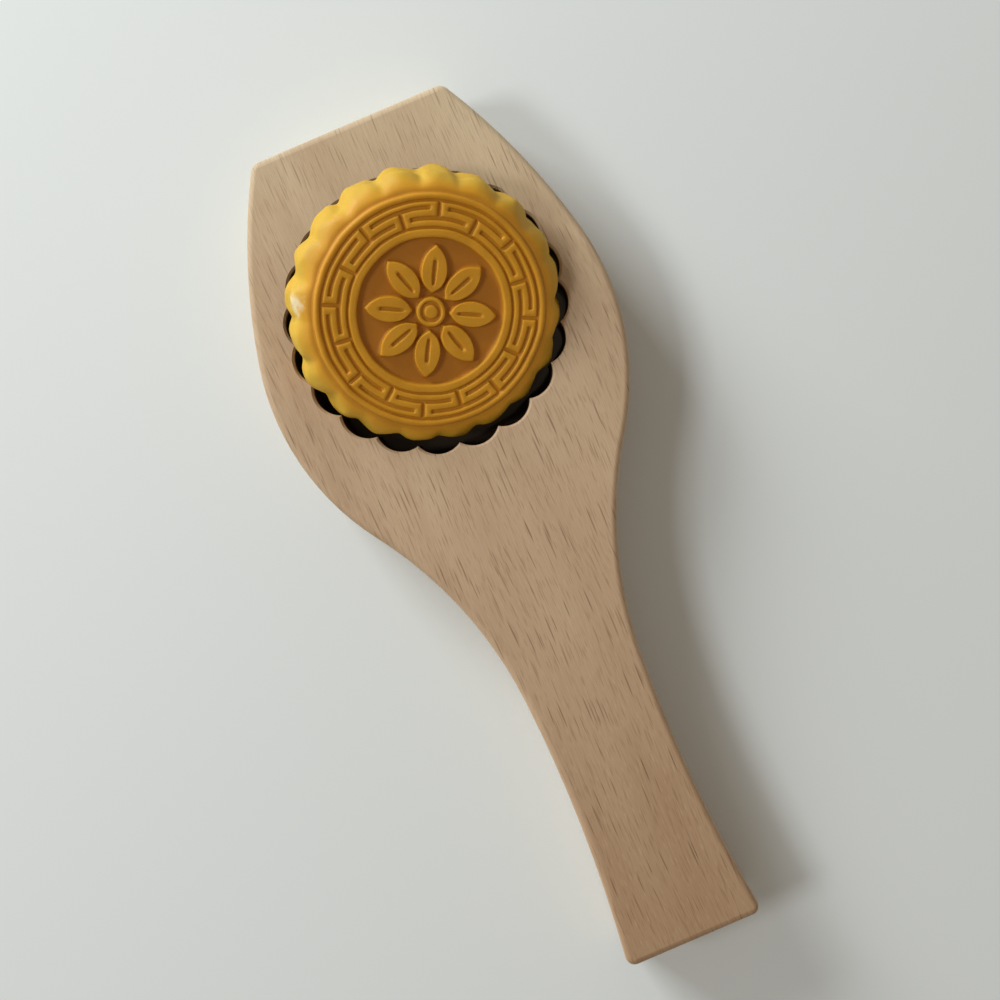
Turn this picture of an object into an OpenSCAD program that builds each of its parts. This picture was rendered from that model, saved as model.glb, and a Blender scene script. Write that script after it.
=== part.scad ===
// Carved wooden cake mold with a handle, and the pressed cake that lies tilted in its cavity.
// All sizes are in millimetres. The head points to +Y, the handle to -Y, the cavity opens to +Z.
// The board lies on z = 0 and is centred on the origin.

/* [Board] */
// Length from the head end to the handle end
board_len = 210; // [200:1:225]
// Thickness of the board
board_t = 22; // [20:0.5:30]
// Widest place of the head
head_w = 86; // [82:0.5:92]
// Distance of the widest place from the head end
widest_at = 57.5; // [55:0.5:61]
// Radius of the side of the head at its widest place
belly_r = 62.5; // [58:0.5:66]
// Width of the straight head end between its corners
head_end_w = 49; // [46:0.5:53]
// Turn of the side from the widest place to the flatter curve above it, in degrees
crown_turn = 12.4; // [11:0.2:14]
// Narrowest place of the handle
grip_w = 28.4; // [26:0.2:31]
// Distance of the narrowest place from the head end
grip_at = 164; // [160:1:170]
// Width of the flared handle end
handle_end_w = 34.7; // [33:0.1:40]
// Turn of the handle's side between its narrowest place and the neck, in degrees
neck_turn = 3.7; // [3:0.1:4.4]
// Corner radius of the head end, seen from above
head_corner_r = 3; // [2:0.5:6]
// Corner radius of the handle end, seen from above
handle_corner_r = 2.2; // [2:0.1:5]
// Radius of the rounded edges all round the board
edge_r = 1.6; // [0.8:0.1:1.9]

/* [Cavity] */
// Distance of the cavity's centre from the head end
cavity_at = 48.6; // [46:0.2:52]
// Reach of the lobes from the cavity's centre at the top face
mouth_r = 33.6; // [31.5:0.1:35]
// Number of lobes round the cavity
lobe_n = 20; // [18:1:22]
// Radius of one lobe at the top face
lobe_r = 6.4; // [6.2:0.05:6.8]
// Depth of the deepest carving under the top face
cavity_d = 14; // [12:0.25:16]
// Slope of the cavity's wall, so that the cake drops out, in degrees
wall_draft = 3; // [2:0.25:3.5]
// Worn bevel round the mouth
rim_bevel = 0.5; // [0.2:0.05:0.8]

/* [Carving] */
// Outer radius of the raised ring that frames the pattern
frame_r = 28; // [27:0.1:29]
// Width of the framing ring
frame_w = 1.6; // [1.2:0.1:2]
// Width of the grooves of the fret band
groove_w = 0.9; // [0.6:0.05:1.1]
// Depth of the grooves of the fret band
groove_d = 0.7; // [0.4:0.05:1]
// Inner radius of the fret band
fret_in_r = 20; // [19.4:0.1:20.6]
// Number of repeats of the fret
fret_n = 8; // [6:1:9]
// Radius of the sunk field in the middle
field_r = 17.7; // [17:0.1:18.2]
// Depth of the sunk field in the middle
field_d = 1.4; // [1:0.1:2]
// Number of petals of the flower
petal_n = 8; // [5:1:8]
// Length of one petal from tip to tip
petal_len = 11.4; // [9.5:0.1:12]
// Width of one petal
petal_w = 6.4; // [4.5:0.1:6.8]
// Radius of the flower's heart
heart_r = 3.6; // [2.8:0.1:4]

/* [Cake] */
// Height that the dough fills above the deepest carving
fill_h = 13.5; // [12:0.25:13.75]
// Size of the finished cake as a share of the cavity
cake_shrink = 0.945; // [0.93:0.005:0.96]
// Bevel round the cake's underside
base_bevel = 0.8; // [0.4:0.1:1.2]
// Lobes that the cake is turned clockwise from the way it was pressed
turn_lobes = 1.5; // [0.5:1:9.5]
// Tilt of the cake, with its handle side sunk in the cavity, in degrees
cake_tilt = 20.5; // [17:0.5:22]
// Turn of the cake's lowest place from the handle towards +X, in degrees
tilt_side = 11; // [0:1:20]
// Distance of the cake's underside from the cavity's centre, towards the head end
cake_shift = 2.9; // [2.4:0.1:3.4]
// Clearance between the cake and the wood it rests on
seat_gap = 0.25; // [0.15:0.05:0.4]

/* [Hidden] */
$fn = 96;

// Middle of the head end and of the cavity along the length
head_y = board_len / 2;
cavity_y = head_y - cavity_at;

// Outline of the right side as four arcs, each meeting the next without a corner.
// Points are [half width, distance from the head end].
belly_c = [head_w / 2 - belly_r, widest_at];
flare = (handle_end_w - grip_w) / 2;
flare_len = board_len - grip_at;
handle_r = (flare_len * flare_len + flare * flare) / (2 * flare);
handle_c = [grip_w / 2 + handle_r, grip_at];
neck_side = [cos(neck_turn), sin(neck_turn)];
neck_end = handle_c - handle_r * neck_side;
neck_reach = neck_end - belly_c;
neck_r = (belly_r * belly_r - neck_reach * neck_reach) / (2 * (neck_reach * neck_side - belly_r));
neck_c = neck_end + neck_r * neck_side;
belly_end = belly_c + belly_r * (neck_c - belly_c) / norm(neck_c - belly_c);
crown_side = [cos(crown_turn), -sin(crown_turn)];
crown_end = belly_c + belly_r * crown_side;
crown_reach = [head_end_w / 2, 0] - crown_end;
crown_r = -(crown_reach * crown_reach) / (2 * (crown_reach * crown_side));
crown_c = crown_end - crown_r * crown_side;

// Centres of the rounded corners, inside the crown arc and outside the handle arc
head_corner = [
    crown_c[0] + sqrt(pow(crown_r - head_corner_r, 2) - pow(head_corner_r - crown_c[1], 2)),
    head_corner_r
];
handle_corner_s = board_len - handle_corner_r;
handle_corner = [
    handle_c[0] - sqrt(pow(handle_r + handle_corner_r, 2) - pow(handle_corner_s - handle_c[1], 2)),
    handle_corner_s
];

// Direction from point a to point b, in degrees from +X towards +Y of the board
function way(a, b) = atan2(a[1] - b[1], b[0] - a[0]);
// Place on the board of a point of the outline
function place(p) = [p[0], head_y - p[1]];

// The arcs from the head end to the handle end as [centre, radius, first direction, last direction, side].
// Side 1 bulges out and is seen from its centre, side -1 is hollow and is seen towards its centre.
side_arcs = [
    [head_corner, head_corner_r, 90, way(crown_c, head_corner), 1],
    [crown_c, crown_r, way(crown_c, head_corner), crown_turn, 1],
    [belly_c, belly_r, crown_turn, way(belly_c, belly_end), 1],
    [neck_c, neck_r, way(belly_end, neck_c), -neck_turn, -1],
    [handle_c, handle_r, -neck_turn, way(handle_corner, handle_c), -1],
    [handle_corner, handle_corner_r, way(handle_corner, handle_c), -90, 1]
];

// The board's curved edge is made of flats that stay this close to the true curve
flat_error = 0.03;
edge_steps = 4;
function arc_steps(arc) = ceil(abs(arc[3] - arc[2]) / (2 * acos(1 - flat_error / arc[1])));
// Points of the right side, drawn in from the outline by an inset
function side_points(inset) = [
    for (arc = side_arcs, i = [0 : arc_steps(arc) - 1])
        let (a = arc[2] + (arc[3] - arc[2]) * i / arc_steps(arc))
        place(arc[0]) + arc[4] * (arc[1] - arc[4] * inset) * [cos(a), sin(a)],
    [handle_corner[0], inset - head_y]
];
function ring_points(inset, z) =
    let (side = side_points(inset), last = len(side) - 1)
    [for (p = side) [p[0], p[1], z], for (i = [last : -1 : 0]) [-side[i][0], side[i][1], z]];
// Rings from the underside to the top face, round the lower edge, up the side and round the upper edge
ring_turns = [
    for (i = [edge_steps : -1 : 0]) -90 * i / edge_steps,
    for (i = [0 : edge_steps]) 90 * i / edge_steps
];
function ring_z(i) =
    (i <= edge_steps ? edge_r : board_t - edge_r) + edge_r * sin(ring_turns[i]);
board_points = [
    for (i = [0 : len(ring_turns) - 1])
        each ring_points(edge_r * (1 - cos(ring_turns[i])), ring_z(i))
];
ring_n = len(ring_points(0, 0));
top_start = (len(ring_turns) - 1) * ring_n;
// The flat faces are strips from the right side to the left side
function strip(i) = [i, i + 1, ring_n - 2 - i, ring_n - 1 - i];
board_faces = [
    for (i = [0 : ring_n / 2 - 2]) top_start * [1, 1, 1, 1] + strip(i),
    for (i = [0 : ring_n / 2 - 2]) [for (j = [3 : -1 : 0]) strip(i)[j]],
    for (k = [0 : len(ring_turns) - 2], i = [0 : ring_n - 1])
        let (next = (i + 1) % ring_n)
        [k * ring_n + i, k * ring_n + next, (k + 1) * ring_n + next, (k + 1) * ring_n + i]
];

// Lobes of the cavity and of the cake
lobe_c = mouth_r - lobe_r;
pitch = 360 / lobe_n;
// Reach of the lobes at a height above the deepest carving
function tip_at(h) = mouth_r - (cavity_d - h) * tan(wall_draft);

// Rounded shoulder between the framing ring and the wall
shoulder_r = mouth_r - frame_r;

// Fret band, from the framing ring's groove inwards
fret_out_r = frame_r - frame_w - groove_w / 3;
fret_w = fret_out_r - fret_in_r;
inner_bar_r = fret_in_r + fret_w * 0.33;
outer_bar_r = fret_in_r + fret_w * 0.72;
fret_step = 360 / fret_n;
bar_turn = fret_step * 0.78;

// Petals are the overlap of two equal circles
petal_arc_r = (petal_len * petal_len + petal_w * petal_w) / (4 * petal_w);
petal_mid = heart_r + 0.9 + petal_len / 2;

// Reach of the mouth at an angle from a lobe's middle
function mouth_at(a) =
    let (off = (a % pitch + 1.5 * pitch) % pitch - pitch / 2)
    lobe_c * cos(off) + sqrt(pow(lobe_r, 2) - pow(lobe_c * sin(off), 2));

// The tilted cake goes down until its wall meets the mouth, or its lower edge the carved floor
foot_r = cake_shrink * tip_at(fill_h) - base_bevel;
cake_turn = turn_lobes * pitch;
steps_per_lobe = 20;
// Points round the cake's wall at a height above its underside.
// They are given as [across, along, up] from the cavity's centre, with the underside's middle at up = 0.
function wall_ring(h) = [
    for (i = [0 : lobe_n * steps_per_lobe - 1])
        let (a = i * pitch / steps_per_lobe)
        let (wall_r = cake_shrink * (mouth_at(a) + tip_at(fill_h) - mouth_r) - h * tan(wall_draft))
        let (r = min(wall_r, foot_r + h))
        let (turn = a + cake_turn + tilt_side)
        let (across = r * sin(turn))
        let (along = r * cos(turn) * cos(cake_tilt) - h * sin(cake_tilt))
        [
            across * cos(tilt_side) - along * sin(tilt_side),
            across * sin(tilt_side) + along * cos(tilt_side) + cake_shift,
            r * cos(turn) * sin(cake_tilt) + h * cos(cake_tilt)
        ]
];
// Depth under the top face that a point can reach before it meets the wall
function free_depth(p) =
    let (room = mouth_at(atan2(p[0], p[1])) - norm([p[0], p[1]]) - seat_gap)
    room > 0 ? room / tan(wall_draft) : -seat_gap;
wall_points = concat(wall_ring(0), wall_ring(base_bevel), wall_ring(fill_h / 4), wall_ring(fill_h / 2));
lift_off_wall = max([for (p = wall_points) -p[2] - free_depth(p)]);
lift_off_floor = foot_r * sin(cake_tilt) + groove_d + seat_gap - cavity_d;
cake_z = board_t + max(lift_off_wall, lift_off_floor);

module board_blank() {
    polyhedron(board_points, board_faces);
}

// Lobes of the cavity in the way that the cake comes out: pattern up at z = 0, mouth below.
// Each lobe is a round column that leans inwards towards the pattern.
module lobed_column() {
    over = 4;
    for (i = [0 : lobe_n - 1])
        rotate(90 + i * pitch)
            translate([lobe_c, 0, -cavity_d])
                rotate([0, -wall_draft, 0])
                    translate([0, 0, -over])
                        cylinder(h = cavity_d + 2 * over, r = lobe_r);
    translate([0, 0, -cavity_d - 2 * over])
        cylinder(h = cavity_d + 4 * over, r = lobe_c - lobe_r / 2);
}

// Turned shape with the rounded shoulder, reaching h below the pattern
module turned_blank(h) {
    shoulder_z = -groove_d - shoulder_r;
    rotate_extrude() {
        translate([0, -h])
            square([frame_r, h]);
        translate([0, -h])
            square([mouth_r + 3, h + shoulder_z]);
        intersection() {
            translate([frame_r, shoulder_z])
                circle(shoulder_r);
            translate([0, shoulder_z])
                square([mouth_r + 1, shoulder_r]);
        }
    }
}

module lobed_blank(h) {
    intersection() {
        lobed_column();
        turned_blank(h);
    }
}

// Ring-shaped groove of the fret band, or an arc of it
module ring_groove(r, w, turn) {
    rotate(90 - turn / 2)
        translate([0, 0, -groove_d])
            rotate_extrude(angle = turn)
                translate([r - w / 2, 0])
                    square([w, groove_d + 1]);
}

module stem_groove(r0, r1) {
    translate([-groove_w / 2, r0, -groove_d])
        cube([groove_w, r1 - r0, groove_d + 1]);
}

// Interlocking T-shaped grooves, every other one upside down
module fret_grooves() {
    ring_groove(fret_out_r, groove_w * 2 / 3, 360);
    ring_groove(fret_in_r, groove_w * 2 / 3, 360);
    for (i = [0 : fret_n - 1]) {
        rotate(i * fret_step) {
            ring_groove(inner_bar_r, groove_w, bar_turn);
            stem_groove(inner_bar_r, fret_out_r);
        }
        rotate((i + 0.5) * fret_step) {
            ring_groove(outer_bar_r, groove_w, bar_turn);
            stem_groove(fret_in_r, outer_bar_r);
        }
    }
}

module petal() {
    difference() {
        translate([0, petal_mid, -field_d - 1])
            intersection_for (side = [-1, 1])
                translate([side * (petal_arc_r - petal_w / 2), 0, 0])
                    cylinder(h = field_d + 1, r = petal_arc_r);
        translate([-groove_w / 2, petal_mid - petal_len * 0.32, -groove_d])
            cube([groove_w, petal_len * 0.5, groove_d + 1]);
    }
}

module flower() {
    for (i = [0 : petal_n - 1])
        rotate(i * 360 / petal_n)
            petal();
    difference() {
        translate([0, 0, -field_d - 1])
            cylinder(h = field_d + 1, r = heart_r);
        ring_groove(heart_r * 0.58, groove_w, 360);
    }
}

// The pattern stands up at z = 0; everything round it is lower
module patterned() {
    difference() {
        children();
        fret_grooves();
        translate([0, 0, -field_d])
            cylinder(h = field_d + 1, r = field_r);
    }
    flower();
}

// Worn bevel that follows the lobes of the mouth
module mouth_bevel() {
    under = 0.3;
    for (i = [0 : lobe_n - 1])
        rotate(90 + i * pitch)
            translate([lobe_c, 0, -rim_bevel - under])
                cylinder(h = 2 * rim_bevel + under, r1 = lobe_r - under, r2 = lobe_r + 2 * rim_bevel);
}

module mold_board() {
    color([0.72, 0.62, 0.48])
        difference() {
            difference() {
                board_blank();
                translate([0, cavity_y, board_t - cavity_d])
                    rotate([180, 0, 0])
                        patterned()
                            lobed_blank(cavity_d + 1);
            }
            translate([0, cavity_y, board_t])
                mouth_bevel();
        }
}

// Cake as it leaves the cavity, with the pattern on top and its underside at z = 0
module pressed_cake() {
    cone_r = foot_r / cake_shrink;
    scale(cake_shrink)
        translate([0, 0, fill_h])
            patterned()
                intersection() {
                    lobed_blank(fill_h);
                    translate([0, 0, -fill_h])
                        cylinder(h = fill_h + 1, r1 = cone_r, r2 = cone_r + fill_h + 1);
                }
}

module mooncake() {
    color([0.86, 0.66, 0.18])
        translate([0, cavity_y + cake_shift, cake_z])
            rotate(tilt_side)
                rotate([cake_tilt, 0, 0])
                    rotate(-tilt_side - cake_turn)
                        pressed_cake();
}

mold_board();
mooncake();
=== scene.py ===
# %% [markdown]
# # A carved cake mold with a pressed cake in it
# The object is a paddle of beech with a scalloped hollow carved into its wide head, and a pressed cake
# that lies loose and tilted in the hollow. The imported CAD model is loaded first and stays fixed: it says
# where every piece is. Blender then adds what the CAD model leaves out, which is the soft form of the
# dough and the look of both materials.

# %% Load the fixed frame
import math

import bmesh
import bpy
import numpy as np
from mathutils import Matrix, Vector
from mathutils.bvhtree import BVHTree


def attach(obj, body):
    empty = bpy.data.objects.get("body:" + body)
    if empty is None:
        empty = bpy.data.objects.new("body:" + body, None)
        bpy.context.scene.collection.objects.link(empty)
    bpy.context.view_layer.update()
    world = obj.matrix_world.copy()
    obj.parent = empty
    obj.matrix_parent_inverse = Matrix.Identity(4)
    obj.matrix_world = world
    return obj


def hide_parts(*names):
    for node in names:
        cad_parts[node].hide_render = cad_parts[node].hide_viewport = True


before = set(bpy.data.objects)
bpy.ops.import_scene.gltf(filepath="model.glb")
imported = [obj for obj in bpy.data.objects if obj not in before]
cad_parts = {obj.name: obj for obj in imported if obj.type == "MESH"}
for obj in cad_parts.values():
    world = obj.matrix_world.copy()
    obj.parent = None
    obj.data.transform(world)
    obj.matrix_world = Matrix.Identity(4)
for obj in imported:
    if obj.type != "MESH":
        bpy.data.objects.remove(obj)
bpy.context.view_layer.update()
MM = 0.001

# %% [markdown]
# ## Helpers for node trees
# Colours are noted as sRGB hex values, the way a colour picker shows them, but Blender computes with
# linear light, so one function converts them. A node tree is easier to read when each node is one call,
# so a second function adds a node, sets it up and links its inputs in one go. Inputs are given by label,
# or by number where several share a label: a Mix node's colours are its inputs 6 and 7, and their mix is
# its output 2. A noise lies round a middle of 0.5, and nearly all of it between 0.3 and 0.7.

# %% Colour and node helpers
COLOR_A, COLOR_B = 6, 7
COLOR_MIX = 2
NOISE_MIDDLE = (0.5, 0.5, 0.5)
NOISE_LOW, NOISE_HIGH = 0.3, 0.7


def from_hex(code):
    """Turn an sRGB hex colour into the linear colour that Blender computes with."""
    parts = [int(code[i:i + 2], 16) / 255 for i in (1, 3, 5)]
    linear = [p / 12.92 if p <= 0.04045 else ((p + 0.055) / 1.055) ** 2.4 for p in parts]
    return (*linear, 1.0)


def add_node(tree, kind, inputs=None, **settings):
    """Add one node, set its properties, and fill or link its inputs by label or number."""
    node = tree.nodes.new(kind)
    for name, value in settings.items():
        setattr(node, name, value)
    for key, value in (inputs or {}).items():
        if isinstance(value, bpy.types.NodeSocket):
            tree.links.new(value, node.inputs[key])
        else:
            node.inputs[key].default_value = value
    return node


def new_material(name):
    """Make an empty material and return it with its node tree."""
    material = bpy.data.materials.new(name)
    material.use_nodes = True
    material.node_tree.nodes.clear()
    return material, material.node_tree


print("white is", from_hex("#ffffff"))

# %% [markdown]
# ## Beech
# Beech is a dense, pale wood. It was sawn, sanded and left bare, so it is matt. On the flat faces the eye
# finds its rays: short dark dashes along the grain, 2 to 10 mm long. Between them run fine streaks of
# pores and broad faint bands of growth. A picture of wood would wrap badly round the edges, so the
# pattern is a solid one: it fills the board's space, and each face shows its own cut through it. A slow
# noise bends that space a little first, because no grain is quite straight.

# %% Grain in the board's own space
SWAY_SIZE = (34 * MM, 70 * MM, 34 * MM)
SWAY_REACH = (5 * MM, 0, 3 * MM)
beech, wood = new_material("dry_beech")
place = add_node(wood, "ShaderNodeTexCoord").outputs["Object"]
sway_space = add_node(wood, "ShaderNodeVectorMath", {0: place, 1: SWAY_SIZE}, operation="DIVIDE").outputs[0]
sway = add_node(wood, "ShaderNodeTexNoise", {
    "Vector": sway_space, "Scale": 1.0, "Detail": 1.0}).outputs["Color"]
sway = add_node(wood, "ShaderNodeVectorMath", {0: sway, 1: NOISE_MIDDLE}, operation="SUBTRACT").outputs[0]
grain = add_node(wood, "ShaderNodeVectorMath", {0: sway, 1: SWAY_REACH, 2: place},
                 operation="MULTIPLY_ADD").outputs[0]
print("grain sways by up to", SWAY_REACH[0] / MM / 2, "mm each way")

# %% [markdown]
# The rays are lenses in stretched cells, one in each, which run through the board's whole thickness. Each
# cell's own random colour gives its ray a size and a strength. Four kinds lie over each other, from long
# dark ones to short pale ones; the short pale ones are painted glints that stand for the lit sides of raised
# rays. The streaks of pores are finer than the rays, and the patches that make one part of the board darker
# than the next are far coarser. Both are stretched noise.

# %% Rays, streaks and patches
RAY_CORE = 0.35
FAINTEST_RAY = 0.15


def grain_space(across, along, through=1.0):
    """Grain coordinates in which one unit is this many millimetres each way."""
    size = (across * MM, along * MM, through * MM)
    return add_node(wood, "ShaderNodeVectorMath", {0: grain, 1: size}, operation="DIVIDE").outputs[0]


def rays(across, along, least, spread):
    """Lens-shaped rays, one in each cell of across by along mm, each of its own size and strength.

    A ray reaches out from the middle of its cell by a share of it: least, and up to spread more.
    """
    cell = add_node(wood, "ShaderNodeTexVoronoi", {"Vector": grain_space(across, along), "Scale": 1.0},
                    voronoi_dimensions="2D")
    luck = add_node(wood, "ShaderNodeSeparateColor", {0: cell.outputs["Color"]})
    reach = add_node(wood, "ShaderNodeMath", {0: luck.outputs[0], 1: spread, 2: least},
                     operation="MULTIPLY_ADD").outputs[0]
    core = add_node(wood, "ShaderNodeMath", {0: reach, 1: RAY_CORE}, operation="MULTIPLY").outputs[0]
    shape = add_node(wood, "ShaderNodeMapRange", {
        "Value": cell.outputs["Distance"], "From Min": reach, "From Max": core},
        interpolation_type="SMOOTHSTEP").outputs[0]
    strength = add_node(wood, "ShaderNodeMapRange", {
        "Value": luck.outputs[1], "To Min": FAINTEST_RAY, "To Max": 1.0}).outputs[0]
    return add_node(wood, "ShaderNodeMath", {0: shape, 1: strength}, operation="MULTIPLY").outputs[0]


dark_rays = rays(across=1.05, along=21.0, least=0.115, spread=0.135)
soft_rays = rays(across=1.1, along=14.0, least=0.155, spread=0.14)
fine_rays = rays(across=0.8, along=6.0, least=0.18, spread=0.14)
# Painted glints: pale flecks for the lit sides of raised rays.
ray_glints = rays(across=0.9, along=5.0, least=0.16, spread=0.14)
streaks = add_node(wood, "ShaderNodeTexNoise", {
    "Vector": grain_space(across=0.35, along=9.0, through=3.0),
    "Scale": 1.0, "Detail": 3.0, "Roughness": 0.6}).outputs[0]
patches = add_node(wood, "ShaderNodeTexNoise", {
    "Vector": grain_space(across=20.0, along=60.0, through=20.0),
    "Scale": 1.0, "Detail": 2.0}).outputs[0]
print("beech pattern so far:", len(wood.nodes), "nodes")

# %% [markdown]
# The growth bands are rings round the heart of the tree. The board was cut well away from the heart, so
# the rings cross it as wide, nearly parallel bands. The distance from a line under the board, read
# through a one-dimensional noise, gives bands of uneven width.

# %% Growth bands
HEART_AWAY = (18 * MM, 0, -75 * MM)
BAND = 3.4 * MM


def line_distance(point, passes, across):
    """Distance of a point from a line that passes a place, counted only along the axes that across marks."""
    away = add_node(wood, "ShaderNodeVectorMath", {0: point, 1: passes}, operation="SUBTRACT").outputs[0]
    away = add_node(wood, "ShaderNodeVectorMath", {0: away, 1: across}, operation="MULTIPLY").outputs[0]
    return add_node(wood, "ShaderNodeVectorMath", {0: away}, operation="LENGTH").outputs["Value"]


heart_distance = line_distance(grain, passes=HEART_AWAY, across=(1, 0, 1))
band_place = add_node(wood, "ShaderNodeMath", {0: heart_distance, 1: BAND}, operation="DIVIDE").outputs[0]
bands = add_node(wood, "ShaderNodeTexNoise", {"W": band_place, "Scale": 1.0, "Detail": 2.0},
                 noise_dimensions="1D").outputs[0]
print("growth bands about", BAND / MM, "mm apart")

# %% [markdown]
# The board isn't of one tone. Its flat faces darken towards the handle and its left edge is slightly darker.
# Its sides and rounded edges are left paler, which is painted light for the bright lit edges, and the end of
# the head is paler and more yellow, a painted sheen from the low window beyond it. All of this follows from
# the place on the board, so each is a mask made from the same coordinates.

# %% Tone along the board
BOARD_T = 22 * MM
FLAT_WITHIN, SIDE_BEYOND = 0.3 * MM, 1.4 * MM
NECK_Y, HANDLE_END_Y = 20 * MM, -100 * MM
NECK_TONE, HANDLE_TONE = 0.28, 0.63
LEFT_FROM_X, LEFT_TO_X = -18 * MM, -36 * MM
HEAD_FROM_Y, HEAD_TO_Y = 25 * MM, 100 * MM
axes = add_node(wood, "ShaderNodeSeparateXYZ", {0: place}).outputs
flat_tone = add_node(wood, "ShaderNodeMapRange", {
    "Value": axes["Y"], "From Min": NECK_Y, "From Max": HANDLE_END_Y,
    "To Min": NECK_TONE, "To Max": HANDLE_TONE}).outputs[0]
left_edge = add_node(wood, "ShaderNodeMapRange", {
    "Value": axes["X"], "From Min": LEFT_FROM_X, "From Max": LEFT_TO_X}).outputs[0]
# Painted sheen: the head's end, grazed by the low window, turns paler and more yellow.
head_sheen = add_node(wood, "ShaderNodeMapRange", {
    "Value": axes["Y"], "From Min": HEAD_FROM_Y, "From Max": HEAD_TO_Y}).outputs[0]
under_top = add_node(wood, "ShaderNodeMath", {0: BOARD_T, 1: axes["Z"]}, operation="SUBTRACT").outputs[0]
to_flat = add_node(wood, "ShaderNodeMath", {0: under_top, 1: axes["Z"]}, operation="MINIMUM").outputs[0]
on_flat = add_node(wood, "ShaderNodeMapRange", {
    "Value": to_flat, "From Min": SIDE_BEYOND, "From Max": FLAT_WITHIN},
    interpolation_type="SMOOTHSTEP").outputs[0]
print("flat faces reach", FLAT_WITHIN / MM, "mm down the rounded edges")

# %% [markdown]
# The hollow is darkened, partly by the oil of many pressings and partly with painted shade for the deep,
# narrow gap round the cake, so it is darkest, near black, on its walls. The mask takes what lies within
# reach of the hollow's axis, under the clean rim and above the underside.

# %% The darkened hollow: oil stain and painted shade
CAVITY_Y = 56.4 * MM
HOLLOW_REACH = 34.6 * MM
CLEAN_RIM, SHADED_RIM = 0.3 * MM, 2.5 * MM
CLEAN_BASE = 4 * MM
FLOOR_REACH, WALL_FROM = 27.5 * MM, 30 * MM
axis_distance = line_distance(place, passes=(0, CAVITY_Y, 0), across=(1, 1, 0))
below_rim = add_node(wood, "ShaderNodeMapRange", {
    "Value": axes["Z"], "From Min": BOARD_T - CLEAN_RIM, "From Max": BOARD_T - SHADED_RIM},
    interpolation_type="SMOOTHSTEP").outputs[0]
in_hollow = add_node(wood, "ShaderNodeMath", {0: axis_distance, 1: HOLLOW_REACH},
                     operation="LESS_THAN").outputs[0]
above_base = add_node(wood, "ShaderNodeMath", {0: axes["Z"], 1: CLEAN_BASE},
                      operation="GREATER_THAN").outputs[0]
hollow_shade_and_oil = add_node(wood, "ShaderNodeMath", {0: below_rim, 1: in_hollow}, operation="MULTIPLY").outputs[0]
hollow_shade_and_oil = add_node(wood, "ShaderNodeMath", {0: hollow_shade_and_oil, 1: above_base}, operation="MULTIPLY").outputs[0]
deep_wall = add_node(wood, "ShaderNodeMapRange", {
    "Value": axis_distance, "From Min": FLOOR_REACH, "From Max": WALL_FROM},
    interpolation_type="SMOOTHSTEP").outputs[0]
print("hollow centred at y =", CAVITY_Y / MM, "mm")

# %% [markdown]
# The parts of the pattern add up to one tone, which mixes a pale wood with a deeper one, paler still under
# the painted sheen at the head's end. Growth bands weigh more on the sides than on the flat faces. The rays
# come next, each kind in its own colour. They belong to the flat faces, so they all but vanish on the sides,
# and they are fainter under the head's painted sheen.
# The hollow's darkening, oil with painted shade, comes last.

# %% Beech colour
BANDS_ON_SIDE, BANDS_ON_FLAT = 0.55, 0.25
PALEST_TONE, DEEPEST_TONE = 0.48, 1.23
RAYS_ON_SIDE, RAYS_AT_HEAD = 0.1, 0.6
HOLLOW_SHADE_SHARE = 0.94
band_weight = add_node(wood, "ShaderNodeMapRange", {
    "Value": on_flat, "To Min": BANDS_ON_SIDE, "To Max": BANDS_ON_FLAT}).outputs[0]
tone = 0.0
# The darkening towards the handle counts on the flat faces only, so the sides and rounded edges stay paler:
# painted light for the lit edges.
for part, weight in ((patches, 0.40), (bands, band_weight), (streaks, 0.26), (on_flat, flat_tone),
                     (left_edge, 0.16)):
    tone = add_node(wood, "ShaderNodeMath", {0: part, 1: weight, 2: tone},
                    operation="MULTIPLY_ADD").outputs[0]
tone = add_node(wood, "ShaderNodeMapRange", {
    "Value": tone, "From Min": PALEST_TONE, "From Max": DEEPEST_TONE}).outputs[0]
# Towards the head's end the pale wood turns paler and more yellow: a painted sheen.
pale = add_node(wood, "ShaderNodeMix", {
    0: head_sheen, COLOR_A: from_hex("#d0b592"), COLOR_B: from_hex("#d3c19d")},
    data_type="RGBA").outputs[COLOR_MIX]
color = add_node(wood, "ShaderNodeMix", {0: tone, COLOR_A: pale, COLOR_B: from_hex("#a07d5a")},
                 data_type="RGBA").outputs[COLOR_MIX]

side_fade = add_node(wood, "ShaderNodeMapRange", {
    "Value": on_flat, "To Min": RAYS_ON_SIDE, "To Max": 1.0}).outputs[0]
head_fade = add_node(wood, "ShaderNodeMapRange", {
    "Value": head_sheen, "To Min": 1.0, "To Max": RAYS_AT_HEAD}).outputs[0]
fade = add_node(wood, "ShaderNodeMath", {0: side_fade, 1: head_fade}, operation="MULTIPLY").outputs[0]
# The pale colour #e2cda9 is that of the painted glints.
for part, weight, code in ((ray_glints, 0.12, "#e2cda9"), (soft_rays, 0.33, "#86613f"),
                           (fine_rays, 0.30, "#7d5a3a"), (dark_rays, 0.60, "#684a2f")):
    share = add_node(wood, "ShaderNodeMath", {0: part, 1: fade}, operation="MULTIPLY").outputs[0]
    share = add_node(wood, "ShaderNodeMath", {0: share, 1: weight}, operation="MULTIPLY").outputs[0]
    color = add_node(wood, "ShaderNodeMix", {0: share, COLOR_A: color, COLOR_B: from_hex(code)},
                     data_type="RGBA").outputs[COLOR_MIX]

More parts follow.
